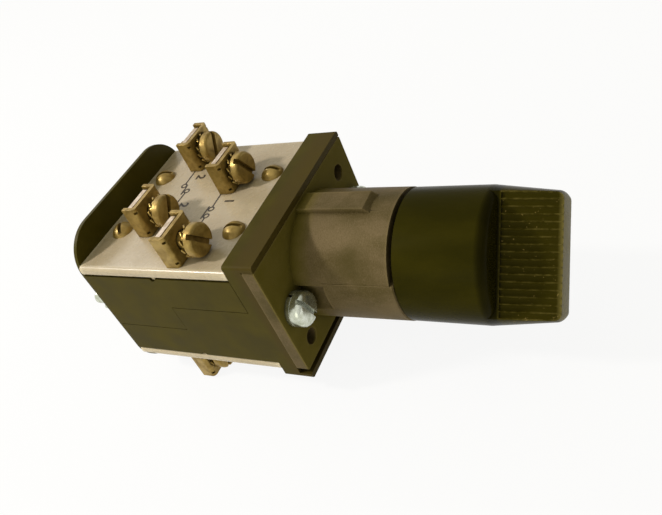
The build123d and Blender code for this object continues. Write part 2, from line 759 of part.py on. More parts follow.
# Contact bridges: the front one closes when pushed in, the rear one opens
with BuildPart() as contact_bridges_top:
    for y, button_y, rearward in ((bridge_a_y, bridge_a_y + bridge_t, -1), (bridge_b_y, bridge_b_y, 1)):
        with BuildSketch(facing(y)):
            with Locations((0, plunger_z)):
                Rectangle(bridge_len, bridge_h)
        extrude(amount=-bridge_t)
        with BuildSketch(facing(button_y)):
            with Locations((inner_x, plunger_z), (-inner_x, plunger_z)):
                Circle(bridge_button_r)
        extrude(amount=rearward * bridge_button_h)
contact_bridges_top.part.label = "contact_bridges_top"
export_step(contact_bridges_top.part, "parts/contact_bridges_top.step")

# Bowed leaf springs press each bridge against the end of its window
with BuildPart() as contact_springs_top:
    for bridge_face, window_end, inward in (
        (bridge_a_y, bridge_a_y - leaf_room, 1),
        (bridge_b_y + bridge_t, bridge_b_y + bridge_t + leaf_room, -1),
    ):
        foot_y = bridge_face - inward * (leaf_t / 2 + seat_gap)
        crest_y = window_end + inward * (leaf_t / 2 + seat_gap)
        with BuildSketch(Plane.XY.offset(plunger_z)):
            with BuildLine():
                ThreePointArc((-leaf_half, foot_y), (0, crest_y), (leaf_half, foot_y))
            trace(line_width=leaf_t)
        extrude(amount=leaf_w / 2, both=True)
contact_springs_top.part.label = "contact_springs_top"
export_step(contact_springs_top.part, "parts/contact_springs_top.step")

# The lower set is the upper one turned half round the axis, modelled pushed in
with BuildPart() as plunger_bottom:
    with Locations((0, plunger_travel, 0)):
        add(plunger_top.part, rotation=(0, 180, 0))
plunger_bottom.part.label = "plunger_bottom"
export_step(plunger_bottom.part, "parts/plunger_bottom.step")

with BuildPart() as contact_bridges_bottom:
    with Locations((0, plunger_travel, 0)):
        add(contact_bridges_top.part, rotation=(0, 180, 0))
contact_bridges_bottom.part.label = "contact_bridges_bottom"
export_step(contact_bridges_bottom.part, "parts/contact_bridges_bottom.step")

with BuildPart() as contact_springs_bottom:
    with Locations((0, plunger_travel, 0)):
        add(contact_springs_top.part, rotation=(0, 180, 0))
contact_springs_bottom.part.label = "contact_springs_bottom"
export_step(contact_springs_bottom.part, "parts/contact_springs_bottom.step")

# Return springs between the plungers and the block's rear wall
spring_y0 = plunger_y1 + spring_end_gap
with BuildPart() as return_spring_top:
    coil_len = spring_y1 - spring_y0 - 2 * spring_wire_r
    with BuildLine():
        coil = Helix(
            pitch=coil_len / spring_turns,
            height=coil_len,
            radius=spring_r,
            center=(0, spring_y0 + spring_wire_r, plunger_z),
            direction=(0, 1, 0),
        )
    with BuildSketch(Plane(origin=coil @ 0, z_dir=coil % 0)):
        Circle(spring_wire_r)
    sweep(path=coil, is_frenet=True)
return_spring_top.part.label = "return_spring_top"
export_step(return_spring_top.part, "parts/return_spring_top.step")

with BuildPart() as return_spring_bottom:
    coil_len = spring_y1 - spring_y0 - plunger_travel - 2 * spring_wire_r
    with BuildLine():
        coil = Helix(
            pitch=coil_len / spring_turns,
            height=coil_len,
            radius=spring_r,
            center=(0, spring_y0 + plunger_travel + spring_wire_r, -plunger_z),
            direction=(0, 1, 0),
        )
    with BuildSketch(Plane(origin=coil @ 0, z_dir=coil % 0)):
        Circle(spring_wire_r)
    sweep(path=coil, is_frenet=True)
return_spring_bottom.part.label = "return_spring_bottom"
export_step(return_spring_bottom.part, "parts/return_spring_bottom.step")

# Rear plate and the two long screws that clamp flange, block and plate together
with BuildPart() as rear_plate:
    with BuildSketch(facing(block_y)):
        RectangleRounded(rear_plate_w, rear_plate_h, rear_plate_corner_r)
    extrude(amount=-rear_plate_t)
    with Locations(facing(block_y)):
        with Locations((bolt_x, 0), (-bolt_x, 0)):
            Hole(bolt_hole_r, depth=rear_plate_t)
rear_plate.part.label = "rear_plate"
export_step(rear_plate.part, "parts/rear_plate.step")

bolt_end_y = block_y + rear_plate_t + nut_t + bolt_tail
with BuildPart() as through_screw:
    with BuildSketch(facing(-split_washer_t)):
        Circle(bolt_head_r)
    extrude(amount=bolt_head_h)
    fillet(through_screw.edges().sort_by(Axis.Y)[0], bolt_head_h / 2)
    with BuildSketch(facing(-split_washer_t)):
        Circle(bolt_r)
    extrude(amount=-(bolt_end_y + split_washer_t))
    with BuildSketch(facing(-split_washer_t - bolt_head_h)):
        Rectangle(3 * bolt_head_r, bolt_slot_w)
    extrude(amount=-bolt_slot_d, mode=Mode.SUBTRACT)

with BuildPart() as through_screws:
    for x, turn in ((-bolt_x, bolt_slot_near), (bolt_x, bolt_slot_far)):
        with Locations(Location((x, 0, 0), (0, turn, 0))):
            add(through_screw.part)
through_screws.part.label = "through_screws"
export_step(through_screws.part, "parts/through_screws.step")

with BuildPart() as split_washers:
    with BuildSketch(facing(0)):
        with Locations((bolt_x, 0), (-bolt_x, 0)):
            Circle(split_washer_r)
            Circle(bolt_hole_r, mode=Mode.SUBTRACT)
            with Locations((0, split_washer_r)):
                Rectangle(split_gap, 2 * split_washer_r - 2 * bolt_r, mode=Mode.SUBTRACT)
    extrude(amount=split_washer_t)
split_washers.part.label = "split_washers"
export_step(split_washers.part, "parts/split_washers.step")

with BuildPart() as rear_nuts:
    with BuildSketch(facing(block_y + rear_plate_t)):
        with Locations((bolt_x, 0), (-bolt_x, 0)):
            RegularPolygon(nut_across / 2, 6, major_radius=False)
            Circle(bolt_r + thread_fit, mode=Mode.SUBTRACT)
    extrude(amount=-nut_t)
rear_nuts.part.label = "rear_nuts"
export_step(rear_nuts.part, "parts/rear_nuts.step")
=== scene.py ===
import bpy
import bmesh
import json
from math import atan2, radians, pi
from mathutils import Matrix, Vector


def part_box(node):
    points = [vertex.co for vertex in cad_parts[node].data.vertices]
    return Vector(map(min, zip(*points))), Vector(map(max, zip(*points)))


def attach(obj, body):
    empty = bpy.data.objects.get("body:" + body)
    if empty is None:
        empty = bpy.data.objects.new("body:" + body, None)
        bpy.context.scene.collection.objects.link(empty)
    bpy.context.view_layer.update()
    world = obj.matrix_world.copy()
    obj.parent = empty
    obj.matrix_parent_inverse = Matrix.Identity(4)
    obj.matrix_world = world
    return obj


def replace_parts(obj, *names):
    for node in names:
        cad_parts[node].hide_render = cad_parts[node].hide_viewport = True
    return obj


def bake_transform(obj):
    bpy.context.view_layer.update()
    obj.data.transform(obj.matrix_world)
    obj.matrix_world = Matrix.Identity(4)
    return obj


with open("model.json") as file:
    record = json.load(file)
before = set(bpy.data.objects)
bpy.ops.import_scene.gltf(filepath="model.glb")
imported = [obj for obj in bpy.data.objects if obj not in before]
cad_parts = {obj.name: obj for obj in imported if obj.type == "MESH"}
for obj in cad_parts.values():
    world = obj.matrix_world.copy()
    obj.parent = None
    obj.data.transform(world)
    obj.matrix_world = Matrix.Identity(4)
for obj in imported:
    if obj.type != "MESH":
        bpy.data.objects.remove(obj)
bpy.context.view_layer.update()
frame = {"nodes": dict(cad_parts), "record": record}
mm = 0.001
nodeBody = {n: b for b, ns in frame["record"]["behaviour"]["bodies"].items() for n in ns}
print("frame loaded:", len(frame["nodes"]), "nodes")


# shader helpers: every look starts from one principled shader and the piece's own coordinates
def tint(r, g, b):
    return tuple(((c / 255 + 0.055) / 1.055) ** 2.4 if c > 10 else c / 255 / 12.92 for c in (r, g, b)) + (1.0,)


def startLook(name, roughness, metallic=0.0, specular=0.5):
    look = bpy.data.materials.new(name)
    look.use_nodes = True
    tree = look.node_tree
    shader = tree.nodes["Principled BSDF"]
    shader.inputs["Roughness"].default_value = roughness
    shader.inputs["Metallic"].default_value = metallic
    shader.inputs["Specular IOR Level"].default_value = specular
    coords = tree.nodes.new("ShaderNodeTexCoord").outputs["Object"]
    return look, tree, shader, coords


def grain(tree, coords, size, detail=3.0, stretch=(1, 1, 1), distortion=0.0):
    mapping = tree.nodes.new("ShaderNodeMapping")
    mapping.inputs["Scale"].default_value = [1 / (size * mm * s) for s in stretch]
    tree.links.new(coords, mapping.inputs["Vector"])
    noise = tree.nodes.new("ShaderNodeTexNoise")
    noise.inputs["Scale"].default_value = 1.0
    noise.inputs["Detail"].default_value = detail
    noise.inputs["Distortion"].default_value = distortion
    tree.links.new(mapping.outputs["Vector"], noise.inputs["Vector"])
    return noise.outputs["Fac"]


def ramp(tree, value, stops):
    node = tree.nodes.new("ShaderNodeValToRGB")
    band = node.color_ramp
    while len(band.elements) < len(stops):
        band.elements.new(0.5)
    for element, (place, colour) in zip(band.elements, stops):
        element.position = place
        element.color = colour
    tree.links.new(value, node.inputs["Fac"])
    return node.outputs["Color"]


def spread(tree, value, low, high, outLow, outHigh):
    node = tree.nodes.new("ShaderNodeMapRange")
    for key, number in (("From Min", low), ("From Max", high), ("To Min", outLow), ("To Max", outHigh)):
        node.inputs[key].default_value = number
    tree.links.new(value, node.inputs["Value"])
    return node.outputs["Result"]


def over(tree, mask, under, upper):
    node = tree.nodes.new("ShaderNodeMix")
    node.data_type = "RGBA"
    tree.links.new(mask, node.inputs["Factor"])
    for socket, source in (("A", under), ("B", upper)):
        target = [s for s in node.inputs if s.name == socket and s.type == "RGBA"][0]
        if isinstance(source, tuple):
            target.default_value = source
        else:
            tree.links.new(source, target)
    return [s for s in node.outputs if s.type == "RGBA"][0]


# mask of painted shade with dirt: strong in slots, flutes and inner corners, nothing on open faces
def dirtAndShade(tree, reach, strength, start=0.9, full=0.35):
    node = tree.nodes.new("ShaderNodeAmbientOcclusion")
    node.samples = 6
    node.only_local = False
    node.inputs["Distance"].default_value = reach * mm
    return spread(tree, node.outputs["AO"], full, start, strength, 0.0)


# mask of painted highlight with wear: strong on outer edges and ridges, nothing on open faces
def edgeWearAndHighlight(tree, reach, strength, start=0.95, full=0.6):
    node = tree.nodes.new("ShaderNodeAmbientOcclusion")
    node.samples = 6
    node.inside = True
    node.only_local = True
    node.inputs["Distance"].default_value = reach * mm
    return spread(tree, node.outputs["AO"], full, start, strength, 0.0)


# mask along the switch's axis, from nothing at one place to full at another, in mm
def alongAxis(tree, coords, start, full, strength=1.0):
    split = tree.nodes.new("ShaderNodeSeparateXYZ")
    tree.links.new(coords, split.inputs["Vector"])
    if start < full:
        return spread(tree, split.outputs["Y"], start * mm, full * mm, 0.0, strength)
    return spread(tree, split.outputs["Y"], full * mm, start * mm, strength, 0.0)


def multiply(tree, first, second):
    product = tree.nodes.new("ShaderNodeMath")
    product.operation = "MULTIPLY"
    tree.links.new(first, product.inputs[0])
    tree.links.new(second, product.inputs[1])
    return product.outputs[0]


def relief(tree, shader, heights):
    normal = None
    for value, depth in heights:
        bump = tree.nodes.new("ShaderNodeBump")
        bump.inputs["Strength"].default_value = 1.0
        bump.inputs["Distance"].default_value = depth * mm
        tree.links.new(value, bump.inputs["Height"])
        if normal:
            tree.links.new(normal, bump.inputs["Normal"])
        normal = bump.outputs["Normal"]
    tree.links.new(normal, shader.inputs["Normal"])


# die-cast zinc, dulled, with a fine sandy skin, painted shade with dirt in its corners and a painted highlight with
# wear on its edges; the flange's face is more olive and less shiny, and that olive is painted onto the barrel next to
# it as shade
castTones = {"light": tint(104, 90, 64), "dark": tint(82, 71, 42), "stain": tint(64, 57, 22), "dirtAndShade": tint(28, 24, 4),
             "rubbed": tint(132, 116, 80), "flange": tint(100, 91, 30), "speck": tint(124, 108, 84)}
castSkin = {
    "metallic": 0.15, "specular": 0.04, "flangeSpecular": 0.01, "smooth": 0.42, "rough": 0.6,
    "patchSize": 5.0, "speckSize": 0.34, "stainSize": 9.0, "dirtShadeReach": 2.5, "wearHighlightReach": 0.6,
    "speckShare": 0.35, "pitShare": 0.3, "stainShare": 0.6, "flangeShare": 0.75, "dirtShadeShare": 0.45, "wearHighlightShare": 0.25,
    "speckDepth": 0.05, "patchDepth": 0.06, "faceStart": (-5.0, -0.5), "faceEnd": (0.5, 0.15),
}


def castMetalLook():
    skin = castSkin
    look, tree, shader, coords = startLook("castMetal", 0.5, skin["metallic"], skin["specular"])
    patch = grain(tree, coords, skin["patchSize"], 4.0, (1, 2.2, 1))
    speck = grain(tree, coords, skin["speckSize"], 3.0, (1, 0.7, 1))
    stain = grain(tree, coords, skin["stainSize"], 5.0)
    base = ramp(tree, patch, [(0.3, castTones["dark"]), (0.62, castTones["light"])])
    sandy = over(tree, spread(tree, speck, 0.5, 0.75, 0, skin["speckShare"]), base, castTones["speck"])
    pitted = over(tree, spread(tree, speck, 0.26, 0.46, skin["pitShare"], 0), sandy, castTones["stain"])
    stained = over(tree, spread(tree, stain, 0.52, 0.75, 0, skin["stainShare"]), pitted, castTones["stain"])
    # painted shade: the flange face's olive runs about 5 mm onto the barrel, where the flange shades it
    flange = multiply(tree, alongAxis(tree, coords, *skin["faceStart"]), alongAxis(tree, coords, *skin["faceEnd"]))
    olive = over(tree, spread(tree, flange, 0, 1, 0, skin["flangeShare"]), stained, castTones["flange"])
    # painted shade with dirt in the corners, then a painted highlight with wear on the edges
    dirtiedAndShaded = over(tree, dirtAndShade(tree, skin["dirtShadeReach"], skin["dirtShadeShare"]), olive, castTones["dirtAndShade"])
    rubbed = over(tree, edgeWearAndHighlight(tree, skin["wearHighlightReach"], skin["wearHighlightShare"]), dirtiedAndShaded, castTones["rubbed"])
    shine = spread(tree, flange, 0, 1, skin["specular"], skin["flangeSpecular"])
    tree.links.new(rubbed, shader.inputs["Base Color"])
    tree.links.new(spread(tree, flange, 0, 1, skin["metallic"], 0.0), shader.inputs["Metallic"])
    tree.links.new(shine, shader.inputs["Specular IOR Level"])
    tree.links.new(spread(tree, patch, 0.3, 0.7, skin["smooth"], skin["rough"]), shader.inputs["Roughness"])
    relief(tree, shader, [(speck, skin["speckDepth"]), (patch, skin["patchDepth"])])
    return look


# black phenolic of the knob: polished, painted shade in the crook of its shoulder, painted shade with dirt in its
# flutes, a painted highlight with wear on the grip's ridges, painted glints on the grip and a painted reflection on the
# grip's end
knobTones = {"base": tint(40, 37, 4), "worn": tint(49, 45, 6), "rubbed": tint(106, 96, 48), "dirtAndShade": tint(12, 10, 2),
             "grip": tint(60, 54, 9), "end": tint(116, 106, 58), "glint": tint(150, 130, 78)}
knobSkin = {
    "specular": 0.018, "smooth": 0.2, "rough": 0.32,
    "wearSize": 6.0, "fineSize": 0.5, "patchSize": 1.1, "glintSize": 0.7, "dirtShadeReach": 0.8, "wearHighlightReach": 0.45,
    "crookShadeShare": 0.5, "gripShare": 0.6, "dirtShadeShare": 0.95, "wearHighlightShare": 0.95, "glintShare": 0.8, "endReflectionShare": 0.9,
    "fineDepth": 0.012, "crookStart": (-41.4, -42.4), "crookEnd": (-44.1, -43.75), "grip": (-43.8, -44.6),
    "end": (-54.7, -55.5),
}


def knobLook():
    skin = knobSkin
    look, tree, shader, coords = startLook("knobPhenolic", 0.22, 0.0, skin["specular"])
    wear = grain(tree, coords, skin["wearSize"], 4.0, (1, 2.5, 1))
    fine = grain(tree, coords, skin["fineSize"], 3.0, (1, 6, 1))
    patch = grain(tree, coords, skin["patchSize"], 6.0, (1, 1.3, 1), 0.6)
    glint = grain(tree, coords, skin["glintSize"], 2.0)
    grip = alongAxis(tree, coords, *skin["grip"])
    # painted shade: the crook of the shoulder is darkened
    crookShade = multiply(tree, alongAxis(tree, coords, *skin["crookStart"], skin["crookShadeShare"]),
                     alongAxis(tree, coords, *skin["crookEnd"]))
    base = ramp(tree, wear, [(0.35, knobTones["base"]), (0.7, knobTones["worn"])])
    shaded = over(tree, crookShade, base, knobTones["dirtAndShade"])
    dusted = over(tree, spread(tree, grip, 0, 1, 0, skin["gripShare"]), shaded, knobTones["grip"])
    dirtiedAndShaded = over(tree, dirtAndShade(tree, skin["dirtShadeReach"], skin["dirtShadeShare"], 0.88, 0.5), dusted, knobTones["dirtAndShade"])
    patchy = spread(tree, patch, 0.4, 0.7, 0.12, 1.0)
    # painted highlight with wear along the grip's ridges, in patches
    ridgeHighlights = multiply(tree, multiply(tree, edgeWearAndHighlight(tree, skin["wearHighlightReach"], skin["wearHighlightShare"]), grip), patchy)
    rubbed = over(tree, ridgeHighlights, dirtiedAndShaded, knobTones["rubbed"])
    # painted glints: sparse light spots on the grip
    glints = multiply(tree, spread(tree, glint, 0.69, 0.75, 0.0, skin["glintShare"]), grip)
    glinted = over(tree, glints, rubbed, knobTones["glint"])
    # painted reflection: the grip's end face is lightened
    end = multiply(tree, alongAxis(tree, coords, *skin["end"], skin["endReflectionShare"]),
                   spread(tree, wear, 0.3, 0.7, 0.7, 1.0))
    endReflection = over(tree, end, glinted, knobTones["end"])
    tree.links.new(endReflection, shader.inputs["Base Color"])
    tree.links.new(spread(tree, wear, 0.35, 0.7, skin["smooth"], skin["rough"]), shader.inputs["Roughness"])
    relief(tree, shader, [(fine, skin["fineDepth"])])
    return look


# matt black moulding of the contact block, dusty, its front wall a little browner, with painted shade and dirt in its
# corners
blockTones = {"base": tint(63, 56, 18), "dust": tint(76, 68, 26), "dirtAndShade": tint(22, 18, 3),
              "frontWall": tint(70, 57, 26)}
blockSkin = {"specular": 0.04, "smooth": 0.42, "rough": 0.58, "cloudSize": 7.0, "fineSize": 0.3, "fineDepth": 0.015,
             "dirtShadeReach": 2.0, "dirtShadeShare": 0.7, "frontWall": (6.0, 4.0), "frontWallShare": 0.6}


def blockLook():
    skin = blockSkin
    look, tree, shader, coords = startLook("blockMoulding", 0.5, 0.0, skin["specular"])
    cloud = grain(tree, coords, skin["cloudSize"], 4.0)
    fine = grain(tree, coords, skin["fineSize"], 2.0)
    base = ramp(tree, cloud, [(0.32, blockTones["base"]), (0.72, blockTones["dust"])])
    wall = alongAxis(tree, coords, *skin["frontWall"], skin["frontWallShare"])
    browned = over(tree, wall, base, blockTones["frontWall"])
    dirtiedAndShaded = over(tree, dirtAndShade(tree, skin["dirtShadeReach"], skin["dirtShadeShare"]), browned, blockTones["dirtAndShade"])
    tree.links.new(dirtiedAndShaded, shader.inputs["Base Color"])
    tree.links.new(spread(tree, cloud, 0.3, 0.7, skin["smooth"], skin["rough"]), shader.inputs["Roughness"])
    relief(tree, shader, [(fine, skin["fineDepth"])])
    return look


# cream moulding of the terminal plates, slightly glossy and yellowed, with a painted highlight along its edges and
# painted shade with dirt in its corners
plateTones = {"clean": tint(180, 166, 142), "aged": tint(168, 153, 127), "dirtAndShade": tint(112, 96, 66),
              "edge": tint(210, 197, 170)}
plateSkin = {"specular": 0.4, "smooth": 0.25, "rough": 0.3, "cloudSize": 11.0, "fineSize": 2.5, "fineDepth": 0.006,
             "cloudDepth": 0.03, "dirtShadeReach": 1.8, "dirtShadeShare": 0.5, "edgeHighlightReach": 1.4, "edgeHighlightShare": 0.9,
             "glow": 0.08, "glowReach": (0.8, 0.6, 0.4)}


def plateLook():
    skin = plateSkin
    look, tree, shader, coords = startLook("plateMoulding", skin["smooth"], 0.0, skin["specular"])
    cloud = grain(tree, coords, skin["cloudSize"], 4.0)
    fine = grain(tree, coords, skin["fineSize"], 3.0)
    base = ramp(tree, cloud, [(0.3, plateTones["aged"]), (0.62, plateTones["clean"])])
    dirtiedAndShaded = over(tree, dirtAndShade(tree, skin["dirtShadeReach"], skin["dirtShadeShare"], 0.8, 0.3), base, plateTones["dirtAndShade"])
    # painted highlight along the plate's edges
    edgeHighlighted = over(tree, edgeWearAndHighlight(tree, skin["edgeHighlightReach"], skin["edgeHighlightShare"], 0.97, 0.7), dirtiedAndShaded, plateTones["edge"])
    tree.links.new(edgeHighlighted, shader.inputs["Base Color"])
    tree.links.new(spread(tree, fine, 0.3, 0.7, skin["smooth"], skin["rough"]), shader.inputs["Roughness"])
    shader.inputs["Subsurface Weight"].default_value = skin["glow"]
    shader.inputs["Subsurface Radius"].default_value = [reach * mm for reach in skin["glowReach"]]
    relief(tree, shader, [(fine, skin["fineDepth"]), (cloud, skin["cloudDepth"])])
    return look


# brass, dulled to brown in patches and bright where it was handled, with painted shade and dirt in its slots and
# corners
brassTones = {"bright": tint(164, 138, 74), "dull": tint(122, 98, 40), "brown": tint(84, 62, 10),
              "dirtAndShade": tint(30, 20, 2)}
brassSkin = {"specular": 0.4, "patchSize": 2.2, "spotSize": 1.3, "scratchSize": 0.25, "scratchDepth": 0.012,
             "patchDepth": 0.02, "dirtShadeReach": 1.2, "dirtShadeShare": 0.8}


def brassLook(name, dullness, roughness, metallic):
    skin = brassSkin
    look, tree, shader, coords = startLook(name, roughness, metallic, skin["specular"])
    patch = grain(tree, coords, skin["patchSize"], 5.0, (1, 1, 1), 0.4)
    spots = grain(tree, coords, skin["spotSize"], 4.0)
    scratch = grain(tree, coords, skin["scratchSize"], 2.0, (1, 1, 7))
    base = ramp(tree, patch, [(0.3, brassTones["dull"]), (0.6, brassTones["bright"])])
    spotted = over(tree, spread(tree, spots, 0.52, 0.72, 0, dullness), base, brassTones["brown"])
    dirtiedAndShaded = over(tree, dirtAndShade(tree, skin["dirtShadeReach"], skin["dirtShadeShare"], 0.8, 0.2), spotted, brassTones["dirtAndShade"])
    tree.links.new(dirtiedAndShaded, shader.inputs["Base Color"])
    tree.links.new(spread(tree, patch, 0.3, 0.7, roughness + 0.12, roughness - 0.06), shader.inputs["Roughness"])
    relief(tree, shader, [(scratch, skin["scratchDepth"]), (patch, skin["patchDepth"])])
    return look


# tinned face of the contact lugs, with painted shade and dirt in its corners
tinTones = {"bright": tint(214, 196, 178), "dull": tint(176, 156, 130), "dirtAndShade": tint(70, 54, 30)}
tinSkin = {"metallic": 0.35, "specular": 0.5, "roughness": 0.3, "patchSize": 1.6, "scratchSize": 0.25,
           "scratchDepth": 0.012, "dirtShadeReach": 1.0, "dirtShadeShare": 0.9}


def tinLook():
    skin = tinSkin
    look, tree, shader, coords = startLook("tinnedBrass", skin["roughness"], skin["metallic"], skin["specular"])
    patch = grain(tree, coords, skin["patchSize"], 4.0)
    scratch = grain(tree, coords, skin["scratchSize"], 2.0, (1, 1, 5))
    base = ramp(tree, patch, [(0.35, tinTones["dull"]), (0.6, tinTones["bright"])])
    dirtiedAndShaded = over(tree, dirtAndShade(tree, skin["dirtShadeReach"], skin["dirtShadeShare"], 0.7, 0.25), base, tinTones["dirtAndShade"])
    tree.links.new(dirtiedAndShaded, shader.inputs["Base Color"])
    relief(tree, shader, [(scratch, skin["scratchDepth"])])
    return look


# bright zinc of the long screws, with painted shade and dirt in their hollows and corners
zincTones = {"bright": tint(220, 224, 208), "dull": tint(176, 180, 158), "dirtAndShade": tint(48, 48, 30)}
zincSkin = {"metallic": 0.85, "smooth": 0.16, "rough": 0.26, "patchSize": 1.8, "fineSize": 0.5, "fineDepth": 0.006,
            "dirtShadeReach": 1.2, "dirtShadeShare": 0.9}


def zincLook():
    skin = zincSkin
    look, tree, shader, coords = startLook("zincPlate", 0.2, skin["metallic"])
    patch = grain(tree, coords, skin["patchSize"], 4.0)
    base = ramp(tree, patch, [(0.3, zincTones["dull"]), (0.65, zincTones["bright"])])
    dirtiedAndShaded = over(tree, dirtAndShade(tree, skin["dirtShadeReach"], skin["dirtShadeShare"], 0.8, 0.3), base, zincTones["dirtAndShade"])
    tree.links.new(dirtiedAndShaded, shader.inputs["Base Color"])
    tree.links.new(spread(tree, patch, 0.3, 0.7, skin["rough"], skin["smooth"]), shader.inputs["Roughness"])
    relief(tree, shader, [(grain(tree, coords, skin["fineSize"], 2.0), skin["fineDepth"])])
    return look


# black insulating sheet at the rear
sheetTones = {"base": tint(60, 54, 6), "rubbed": tint(70, 63, 12)}
sheetSkin = {"specular": 0.08, "smooth": 0.36, "rough": 0.5, "cloudSize": 8.0, "weaveSize": 0.5, "weaveDepth": 0.015}


def sheetLook():
    skin = sheetSkin
    look, tree, shader, coords = startLook("blackSheet", 0.42, 0.0, skin["specular"])
    cloud = grain(tree, coords, skin["cloudSize"], 4.0)
    weave = grain(tree, coords, skin["weaveSize"], 2.0, (1, 1, 3))
    base = ramp(tree, cloud, [(0.3, sheetTones["base"]), (0.75, sheetTones["rubbed"])])
    tree.links.new(base, shader.inputs["Base Color"])
    tree.links.new(spread(tree, cloud, 0.3, 0.7, skin["smooth"], skin["rough"]), shader.inputs["Roughness"])
    relief(tree, shader, [(weave, skin["weaveDepth"])])
    return look


# plain finish for what is small or inside
def plainLook(name, low, high, roughness, metallic, size):
    look, tree, shader, coords = startLook(name, roughness, metallic)
    patch = grain(tree, coords, size, 4.0)
    tree.links.new(ramp(tree, patch, [(0.3, low), (0.7, high)]), shader.inputs["Base Color"])
    relief(tree, shader, [(grain(tree, coords, size / 6, 2.0), 0.01)])
    return look


looks = {
    "castMetal": castMetalLook(),
    "knob": knobLook(),
    "block": blockLook(),
    "plate": plateLook(),
    "brass": brassLook("clampBrass", 0.35, 0.38, 0.55),
    "domeBrass": brassLook("domeBrass", 0.2, 0.36, 0.45),
    "washerBrass": brassLook("washerBrass", 0.2, 0.3, 0.8),
    "tin": tinLook(),
    "zinc": zincLook(),
    "sheet": sheetLook(),
    "steel": plainLook("groundSteel", tint(150, 148, 140), tint(190, 188, 180), 0.3, 1.0, 1.5),
    "rubber": plainLook("sealRubber", tint(24, 23, 20), tint(36, 34, 28), 0.7, 0.0, 1.2),
    "cam": plainLook("camPlastic", tint(64, 56, 40), tint(84, 74, 54), 0.45, 0.0, 2.0),
    "ink": plainLook("plateInk", tint(38, 28, 14), tint(56, 44, 26), 0.6, 0.0, 0.6),
}
print("looks made:", len(looks))

# distances in metres, angles in degrees
meshing = {"merge": 2e-6, "tiny": 1e-6, "flatAngle": 0.4, "sharpAngle": 30, "newSharpAngle": 35, "edgeSegments": 2}


def softEdges(piece, edge):
    rounding = piece.modifiers.new("softEdges", "BEVEL")
    rounding.width = edge * mm
    rounding.segments = meshing["edgeSegments"]
    rounding.limit_method = "ANGLE"
    rounding.angle_limit = radians(meshing["sharpAngle"])
    rounding.harden_normals = True
    rounding.miter_outer = "MITER_ARC"


# a dressed copy of a solid: merged, flat faces joined, its sharp edges rounded
def dress(nodeName, look, edge, pieceName):
    mesh = frame["nodes"][nodeName].data.copy()
    mesh.materials.clear()
    mesh.materials.append(looks[look])
    bm = bmesh.new()
    bm.from_mesh(mesh)
    bmesh.ops.remove_doubles(bm, verts=bm.verts, dist=meshing["merge"])
    bmesh.ops.dissolve_degenerate(bm, dist=meshing["tiny"], edges=bm.edges)
    bmesh.ops.dissolve_limit(bm, angle_limit=radians(meshing["flatAngle"]), verts=bm.verts, edges=bm.edges)
    for face in bm.faces:
        face.smooth = True
        face.material_index = 0
    bm.to_mesh(mesh)
    bm.free()
    if mesh.attributes.get("custom_normal"):
        mesh.attributes.remove(mesh.attributes["custom_normal"])
    mesh.set_sharp_from_angle(angle=radians(meshing["sharpAngle"]))
    piece = bpy.data.objects.new(pieceName, mesh)
    bpy.context.scene.collection.objects.link(piece)
    if edge > 0:
        softEdges(piece, edge)
    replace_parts(piece, nodeName)
    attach(piece, nodeBody[nodeName])
    return piece


# look, edge rounding in mm, and the piece's name
dressed = {
    "operator_body": ("castMetal", 0.22, "operatorCasting"),
    "knob": ("knob", 0.0, "knobMoulding"),
    "front_housing": ("block", 0.16, "frontHousing"),
    "rear_housing": ("block", 0.16, "rearHousing"),
    "terminal_plate_top": ("plate", 0.4, "terminalPlateTop"),
    "terminal_plate_bottom": ("plate", 0.4, "terminalPlateBottom"),
    "plate_screws_top": ("domeBrass", 0.06, "plateScrewsTop"),
    "plate_screws_bottom": ("domeBrass", 0.06, "plateScrewsBottom"),
    "contact_blades_top": ("tin", 0.1, "contactBladesTop"),
    "contact_blades_bottom": ("tin", 0.1, "contactBladesBottom"),
    "saddle_clamps_top": ("brass", 0.14, "saddleClampsTop"),
    "saddle_clamps_bottom": ("brass", 0.14, "saddleClampsBottom"),
    "terminal_screws_top": ("brass", 0.08, "terminalScrewsTop"),
    "terminal_screws_bottom": ("brass", 0.08, "terminalScrewsBottom"),
    "rear_plate": ("sheet", 0.12, "rearPlate"),
    "through_screws": ("zinc", 0.08, "throughScrews"),
    "split_washers": ("zinc", 0.08, "splitWashers"),
    "rear_nuts": ("zinc", 0.15, "rearNuts"),
}
for nodeName, (look, edge, pieceName) in dressed.items():
    dress(nodeName, look, edge, pieceName)
print("solids dressed:", len(dressed))

# inner pieces keep their solids and only take a finish
innerLooks = {
    "knob_set_screw": "steel", "operating_shaft": "steel", "cam_pin": "steel", "friction_washer": "brass",
    "shaft_seal": "rubber", "face_cam": "cam", "plunger_top": "cam", "plunger_bottom": "cam",
    "contact_bridges_top": "brass", "contact_bridges_bottom": "brass", "contact_springs_top": "steel",
    "contact_springs_bottom": "steel",
}
for nodeName, look in innerLooks.items():
    solid = frame["nodes"][nodeName]
    solid.data.materials.clear()
    solid.data.materials.append(looks[look])

# each return spring is copied in steel and replaces its solid; the plunger named beside it is not used
springs = {
    "return_spring_top": ("plunger_top", "returnSpringTop"),
    "return_spring_bottom": ("plunger_bottom", "returnSpringBottom"),
}
for nodeName, (follows, pieceName) in springs.items():
    mesh = frame["nodes"][nodeName].data.copy()
    mesh.materials.clear()
    mesh.materials.append(looks["steel"])
    piece = bpy.data.objects.new(pieceName, mesh)
    bpy.context.scene.collection.objects.link(piece)
    low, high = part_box(nodeName)
    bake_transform(piece)
    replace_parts(piece, nodeName)
print("springs made:", len(springs))


